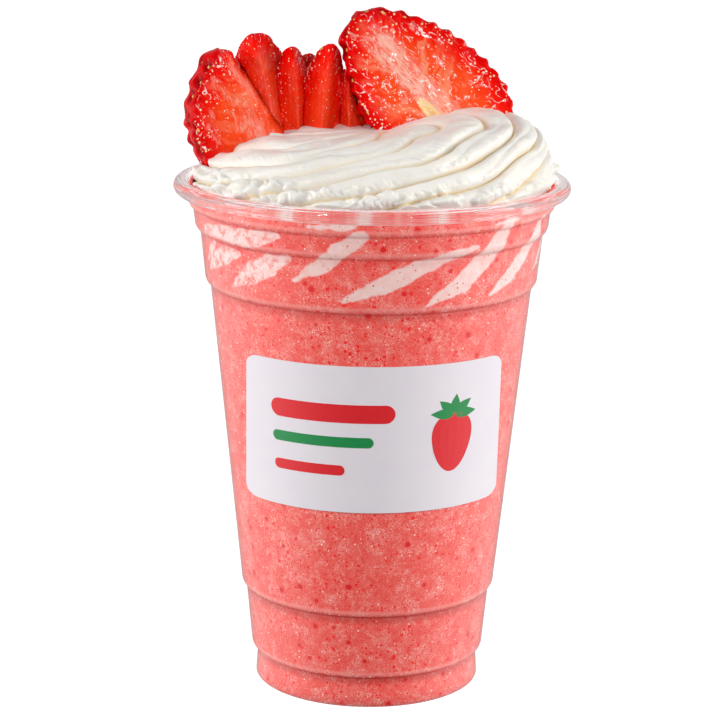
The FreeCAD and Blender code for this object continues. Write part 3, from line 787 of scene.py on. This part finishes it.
# Length, radius, foot (along, y, up), lean to the left, lean back and turn, in mm and degrees.
BERRIES = {
    "strawberry_slice": (50.4, 16.7, (29.75, 5.2, 6.4), 44.6, 3.0, 14.0),
    "strawberry_left": (33.6, 15.4, (FAN_FOOT - 1.0, 2.0, 4.6), 28.5, FAN_BACK, 50.0),
    "strawberry_fan_a": (37.2, 14.6, (FAN_FOOT + 2.1, 5.5, 2.0), 14.0, FAN_BACK, 4.0),
    "strawberry_fan_b": (34.0, 10.5, (FAN_FOOT + 5.4, 3.6, 1.3), 4.0, FAN_BACK, 10.0),
    "strawberry_fan_c": (35.2, 10.5, (FAN_FOOT + 8.6, 1.8, 1.3), -6.5, FAN_BACK, 6.0),
    "strawberry_fan_d": (29.0, 10.0, (FAN_FOOT + 17.8, 3.8, 1.3), 2.0, FAN_BACK, -10.0),
    "strawberry_tip": (31.0, 9.0, (FAN_FOOT + 7.8, 11.0, 1.8), 2.0, FAN_BACK, 0.0),
}
# How pale the veins and the core are, in these pieces and in the others.
PALE_SHARES = {"strawberry_slice": 1.0, "strawberry_left": 0.55, "strawberry_fan_a": 0.16}
PALE_SHARE = 0.04
# How far from a berry's axis the core starts, in the two broad cuts and in the others.
CORE_STARTS = {"strawberry_slice": 3.0, "strawberry_left": 3.0}
CORE_START = 0.5
BERRY_GRAIN = 0.36
SEED_SPACING = 4.6
# A seed is kept where skin is left this near its place.
SEED_NEAR = 0.8
SEED_LENGTH, SEED_WIDTH, SEED_HALF_THICK = 1.25, 0.8, 0.28
DIMPLE_DEPTH, DIMPLE_RADIUS, DIMPLE_LIP = 0.8, 1.3, 0.14
# The skin swells between its seeds. The narrow wedges show only a share of it.
SCALLOP_LENGTH, SCALLOP_RISE, WEDGE_SCALLOPS = 3.9, 0.32, 0.25
BULGE_SIZE, BULGE_RISE, PIT_SIZE, PIT_RISE = 4.2, 0.30, 1.6, 0.07
# The hollow's middle (across, up) in the thick slice, half its width and length, and depth.
HOLLOW = (-2.4, 19.6, 1.9, 6.6, 0.6)


def berry_profile(length, radius, height):
    """Radius of a whole berry's skin at heights above its stem end, in mm."""
    stem, widest = STEM * radius, WIDEST * length
    nose, taper = NOSE * length, TAPER * radius
    shoulder = ((radius - stem) ** 2 + widest ** 2) / (2 * (radius - stem))
    flank = ((radius - taper) ** 2 + (nose - widest) ** 2) / (2 * (radius - taper))
    tip = ((length - nose) ** 2 + taper ** 2) / (2 * (length - nose))
    low = radius - shoulder + np.sqrt(np.maximum(0, shoulder ** 2 - (height - widest) ** 2))
    mid = radius - flank + np.sqrt(np.maximum(0, flank ** 2 - (height - widest) ** 2))
    top = np.sqrt(np.maximum(0, tip ** 2 - (height - length + tip) ** 2))
    return np.where(height < widest, low, np.where(height < nose, mid, top))


def berry_skin(length, radius):
    """The skin's outline from stem to tip, and its outward slope, finely spaced."""
    heights = length * (0.5 - 0.5 * np.cos(np.linspace(0, math.pi, 160)))
    radii = berry_profile(length, radius, heights)
    out, up = np.gradient(heights), -np.gradient(radii)
    size = np.hypot(out, up) + 1e-9
    return heights, radii, out / size, up / size


def seed_places(length, radius):
    """Where the seeds sit on a whole berry: evenly spaced along a golden-angle spiral."""
    heights, radii, outs, ups = berry_skin(length, radius)
    steps = np.hypot(np.diff(heights), np.diff(radii))
    areas = np.concatenate([[0], np.cumsum(math.pi * (radii[1:] + radii[:-1]) * steps)])
    count = int(areas[-1] / SEED_SPACING ** 2)
    marks = (np.arange(count) + 0.5) * areas[-1] / count
    height = np.interp(marks, areas, heights)
    rho, out, up = (np.interp(marks, areas, row) for row in (radii, outs, ups))
    turn = np.arange(count) * math.pi * (3 - math.sqrt(5))
    across = np.stack([np.cos(turn), np.sin(turn), 0 * turn], axis=1)
    places = across * rho[:, None]
    places[:, 2] = height
    normals = across * out[:, None]
    normals[:, 2] = up
    downs = -across * up[:, None]
    downs[:, 2] = out
    return places, normals, downs


def fine_copy(name, grain):
    """The frame's own form of a piece as an even fine mesh, in metres."""
    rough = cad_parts[name].data.copy()
    holder = bpy.data.objects.new(name + "_rough", rough)
    SCENE.collection.objects.link(holder)
    weld = holder.modifiers.new("weld", "WELD")
    weld.merge_threshold = 0.00001
    remesh = holder.modifiers.new("remesh", "REMESH")
    remesh.mode = "VOXEL"
    remesh.voxel_size = grain * MM
    relax = holder.modifiers.new("relax", "SMOOTH")
    relax.factor = 0.5
    relax.iterations = 3
    bpy.context.view_layer.update()
    seen = holder.evaluated_get(bpy.context.evaluated_depsgraph_get())
    mesh = bpy.data.meshes.new_from_object(seen)
    bpy.data.objects.remove(holder)
    return mesh


def stretched(finish, where, along):
    """A place that counts less along the berry, so that what it makes is drawn out."""
    return finish.add("VectorMath", {0: where, 1: (1.0, 1.0, along)},
                      operation="MULTIPLY").outputs[0]


# How the flesh and skin look, from where a point is in its own berry: its distance under
# the skin, its distance from the core, and its place in the berry, all in mm.
fruit = Finish("strawberry")
under, cut, dimple, core, pale_share = (
    fruit.kept(kept) for kept in ("under", "cut", "dimple", "core", "pale"))
own = fruit.add("Attribute", {}, attribute_name="own").outputs["Vector"]
own_parts = fruit.add("SeparateXYZ", {"Vector": own}).outputs
mottle = fruit.grain(own, 5.0, 3.0)
wander = fruit.sum("SUBTRACT", fruit.grain(own, 2.4, 3.0, 0.6), 0.5)
wide_wander = fruit.sum("SUBTRACT", mottle, 0.5)
edge = fruit.sum("MULTIPLY_ADD", wander, 2.6, under)
edge = fruit.sum("MULTIPLY_ADD", wide_wander, 3.0, edge)
flesh = fruit.mixed(fruit.span(edge, 0.2, 3.4), colour(228, 0, 0), colour(248, 18, 2))
inner = fruit.times(fruit.span(edge, 2.6, 8.0), fruit.span(pale_share, 0.0, 0.8, 0.55, 1.0))
flesh = fruit.laid(flesh, inner, 255, 78, 26)
# Veins leave the core on both sides and slant towards the tip.
beside = fruit.sum("ABSOLUTE", own_parts["X"])
slanted = fruit.sum("MULTIPLY_ADD", beside, -0.8, own_parts["Z"])
slanted = fruit.sum("MULTIPLY_ADD", wide_wander, 7.0, slanted)
spoke_place = fruit.add("CombineXYZ", {"X": fruit.times(slanted, 0.30),
                                       "Y": fruit.times(own_parts["X"], 0.07),
                                       "Z": fruit.times(own_parts["Y"], 0.1)})
spokes = fruit.span(fruit.grain(spoke_place.outputs[0], 1.0, 1.5, 0.5, 0.6), 0.50, 0.72)
spoke_zone = fruit.times(fruit.span(under, 1.0, 3.0), fruit.span(core, 12.0, 2.0), pale_share)
flesh = fruit.laid(flesh, fruit.times(spokes, spoke_zone, 0.75), 255, 150, 112)
# The core is a pale band with fibres along it.
band = fruit.span(fruit.sum("MULTIPLY_ADD", wander, 3.4, core), 2.4, 0.2)
fibres = fruit.grain(stretched(fruit, own, 0.22), 0.9, 3.0, 0.6, 1.2)
band = fruit.times(band, fruit.span(under, 2.5, 6.0), fruit.span(fibres, 0.36, 0.6, 0.15, 1.0),
                   pale_share, 0.8)
flesh = fruit.laid(flesh, band, 255, 200, 184)
# A hollow beside the core shows in the thick slice, yellow with a darker cleft.
hollow = fruit.sum("MULTIPLY_ADD", wander, 0.7, fruit.kept("hollow"))
flesh = fruit.laid(flesh, fruit.span(hollow, 0.1, 0.45), 255, 222, 164)
flesh = fruit.laid(flesh, fruit.span(hollow, 0.5, 0.85, 0.0, 0.8), 252, 190, 112)
speckle = fruit.times(fruit.spots(own, 1.35, 0.30, 0.9), fruit.span(under, 7.5, 1.0))
flesh = fruit.laid(flesh, speckle, 255, 232, 180)
# Painted highlights: fine white glint lines are painted on the cut, most near the skin and
# along the core.
glint_place = stretched(fruit, own, 0.6)
glint_lines = fruit.away(fruit.grain(glint_place, 2.3, 0.0, 0.5, 1.3), 0.5)
glint_lines = fruit.span(glint_lines, 0.038, 0.018)
glint_zone = fruit.span(fruit.grain(own, 3.4, 1.0), 0.47, 0.53)
glint_reach = fruit.sum("MAXIMUM", fruit.span(under, 5.5, 2.0),
                   fruit.span(pale_share, 0.5, 1.0, 0.2, 0.75))
wedges = fruit.sum("MAXIMUM", fruit.span(under, 3.2, 1.6),
                   fruit.span(pale_share, 0.0, 0.6, 0.3, 1.0))
broken = fruit.span(fruit.grain(own, 0.95, 1.0), 0.47, 0.53, 0.08, 1.0)
glint_zone = fruit.times(glint_zone, glint_reach, wedges, broken)
flesh = fruit.laid(flesh, fruit.times(glint_lines, glint_zone, 0.9), 255, 240, 232)
# Painted highlights: small white glint dots.
glint_dots = fruit.times(fruit.spots(own, 0.95, 0.20, 0.6),
                    fruit.span(fruit.grain(own, 4.4, 2.0), 0.42, 0.56))
flesh = fruit.laid(flesh, glint_dots, 255, 240, 226)
# Painted highlights: broad pale sheen patches.
painted_sheen = fruit.span(fruit.grain(glint_place, 3.0, 2.0, 0.55, 1.0), 0.60, 0.72)
painted_sheen = fruit.times(painted_sheen, fruit.span(pale_share, 0.1, 1.0, 0.1, 0.42))
flesh = fruit.laid(flesh, painted_sheen, 255, 205, 192)
skin = fruit.mixed(mottle, colour(196, 0, 6), colour(232, 2, 4))
# Painted shade: the skin is painted darker down in each dimple.
skin = fruit.laid(skin, dimple, 120, 0, 8)
fruit_tone = fruit.mixed(cut, skin, flesh)
ripples = fruit.grain(stretched(fruit, own, 0.45), 1.05, 2.0, 0.55, 1.6)
fruit.put(fruit.shader, {
    "Base Color": fruit_tone, "Roughness": fruit.span(ripples, 0.3, 0.7, 0.14, 0.3),
    "Specular IOR Level": 0.03, "Coat Weight": 0.09, "Coat Roughness": 0.04,
    "Subsurface Weight": 0.15, "Subsurface Radius": (1.0, 0.2, 0.1),
    "Subsurface Scale": 1.2 * MM,
    "Normal": fruit.bump(ripples, 0.50 * MM, fruit.span(cut, 0.0, 1.0, 0.2, 1.0))})

seed_coat = Finish("strawberry_seed")
seed_tone = seed_coat.grain(seed_coat.place(), 0.6 * MM, 2.0)
seed_coat.put(seed_coat.shader, {
    "Base Color": seed_coat.mixed(seed_tone, colour(214, 150, 40), colour(246, 206, 96)),
    "Roughness": 0.3, "Coat Weight": 0.5})

SEED_SIDES, SEED_RINGS = 8, 5
seed_points, seed_faces = [], []


def add_seed(place, normal, down):
    """One seed, a flat drop that lies along the berry with its point to the stem."""
    side = normal.cross(down).normalized()
    first = len(seed_points)
    seed_points.append(place - down * SEED_LENGTH / 2)
    for ring in range(1, SEED_RINGS):
        slide = ring / SEED_RINGS
        full = math.sin(math.pi * slide ** 0.8)
        for step in range(SEED_SIDES):
            angle = math.tau * step / SEED_SIDES
            seed_points.append(place + down * SEED_LENGTH * (slide - 0.5)
                               + side * full * SEED_WIDTH / 2 * math.cos(angle)
                               + normal * full * SEED_HALF_THICK * math.sin(angle))
    seed_points.append(place + down * SEED_LENGTH / 2)
    last = len(seed_points) - 1
    for step in range(SEED_SIDES):
        beside = (step + 1) % SEED_SIDES
        seed_faces.append((first, first + 1 + beside, first + 1 + step))
        for ring in range(SEED_RINGS - 2):
            low, high = first + 1 + ring * SEED_SIDES, first + 1 + (ring + 1) * SEED_SIDES
            seed_faces.append((low + step, low + beside, high + beside, high + step))
        seed_faces.append((last, last - SEED_SIDES + step, last - SEED_SIDES + beside))


def make_strawberry(name, length, radius, foot, lean, back, turn):
    """Take the frame's form, find each point's place in its berry, and give it relief."""
    mesh = fine_copy(name, BERRY_GRAIN)
    count = len(mesh.vertices)
    co = np.zeros(count * 3)
    mesh.vertices.foreach_get("co", co)
    co = co.reshape(-1, 3) / MM
    normals = np.array([vertex.normal for vertex in mesh.vertices])
    stood = (Matrix.Rotation(math.radians(-lean), 3, "Y")
             @ Matrix.Rotation(math.radians(-back), 3, "X")
             @ Matrix.Rotation(math.radians(turn), 3, "Z"))
    standing = np.array(stood)
    at = np.array(foot) + np.array((0, 0, FILL_LEVEL))
    own_co = (co - at) @ standing
    own_normals = normals @ standing

    heights, radii, outs, ups = berry_skin(length, radius)
    rho = np.hypot(own_co[:, 0], own_co[:, 1])
    gaps = np.hypot(rho[:, None] - radii[None, :], own_co[:, 2:3] - heights[None, :])
    nearest = gaps.argmin(axis=1)
    under_skin = gaps[np.arange(count), nearest]
    across = own_co[:, :2] / np.maximum(rho, 0.01)[:, None]
    facing = own_normals[:, 0] * across[:, 0] + own_normals[:, 1] * across[:, 1]
    facing = facing * outs[nearest] + own_normals[:, 2] * ups[nearest]
    skinned = np.clip((facing - 0.55) / 0.3, 0, 1) * np.clip(1.6 - under_skin, 0, 1)

    offset = Vector((length, radius, turn))
    bulges = soft_noise(own_co, BULGE_SIZE, offset)
    pits = soft_noise(own_co, PIT_SIZE, offset * 2)
    push = BULGE_RISE * bulges + PIT_RISE * pits
    scallops = np.exp(-(under_skin / 1.5) ** 2)
    side_turn = 1.3 * np.sign(own_co[:, 0])
    waves = np.sin(math.tau * own_co[:, 2] / SCALLOP_LENGTH + side_turn + 2.0 * bulges)
    scalloped = 1.0 if name in CORE_STARTS else WEDGE_SCALLOPS
    push = push + scallops * (0.5 * bulges + SCALLOP_RISE * waves) * scalloped

    hollow = np.zeros(count)
    if name == "strawberry_slice":
        across, along, wide, tall, deep = HOLLOW
        far = np.hypot((own_co[:, 0] - across) / wide, (own_co[:, 2] - along) / tall)
        hollow = np.clip(1.0 - far, 0, 1)
        push = push - deep * np.clip(1.3 * hollow, 0, 1) ** 0.7

    places, seed_normals, downs = seed_places(length, radius)
    skin_points = np.nonzero(skinned > 0.7)[0]
    tree = KDTree(len(skin_points))
    for number, index in enumerate(skin_points):
        tree.insert(own_co[index], number)
    tree.balance()
    dimples = np.zeros(count)
    for place, normal, down in zip(places, seed_normals, downs):
        if not tree.find_range(Vector(place), SEED_NEAR):
            continue
        for point, number, gap in tree.find_range(Vector(place), 2 * DIMPLE_RADIUS):
            index = skin_points[number]
            away = np.array(point) - place
            along = float(away @ down)
            aside = math.sqrt(max(0.0, gap ** 2 - along ** 2))
            far = math.hypot(aside / DIMPLE_RADIUS, along / (1.35 * DIMPLE_RADIUS))
            dimples[index] = max(dimples[index], math.exp(-far ** 2.6))
            push[index] -= DIMPLE_DEPTH * math.exp(-far ** 2.6)
            push[index] += DIMPLE_LIP * math.exp(-((far - 1.35) / 0.3) ** 2)
        sunk = place - normal * (DIMPLE_DEPTH - DIMPLE_LIP)
        world_place = Vector(standing @ sunk + at)
        add_seed(world_place, Vector(standing @ normal), Vector(standing @ down))

    moved = (co + normals * push[:, None]) * MM
    mesh.vertices.foreach_set("co", moved.ravel())
    mesh.update()
    mesh.polygons.foreach_set("use_smooth", [True] * len(mesh.polygons))
    mesh.materials.clear()
    mesh.materials.append(fruit.material)
    piece = bpy.data.objects.new(name + "_fruit", mesh)
    SCENE.collection.objects.link(piece)
    core_gap = np.maximum(0, rho - CORE_STARTS.get(name, CORE_START))
    pale = np.full(count, PALE_SHARES.get(name, PALE_SHARE))
    for kept, numbers in (("under", under_skin), ("cut", 1 - skinned), ("dimple", dimples),
                          ("hollow", hollow), ("core", core_gap), ("pale", pale)):
        store(piece, kept, numbers)
    layer = mesh.attributes.new("own", "FLOAT_VECTOR", "POINT")
    layer.data.foreach_set("vector", own_co.astype(np.float32).ravel())
    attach(piece, "root")
    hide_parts(name)


for berry_name, berry in BERRIES.items():
    make_strawberry(berry_name, *berry)
seeds = piece_of("strawberry_seeds", [point * MM for point in seed_points], seed_faces,
                 seed_coat)
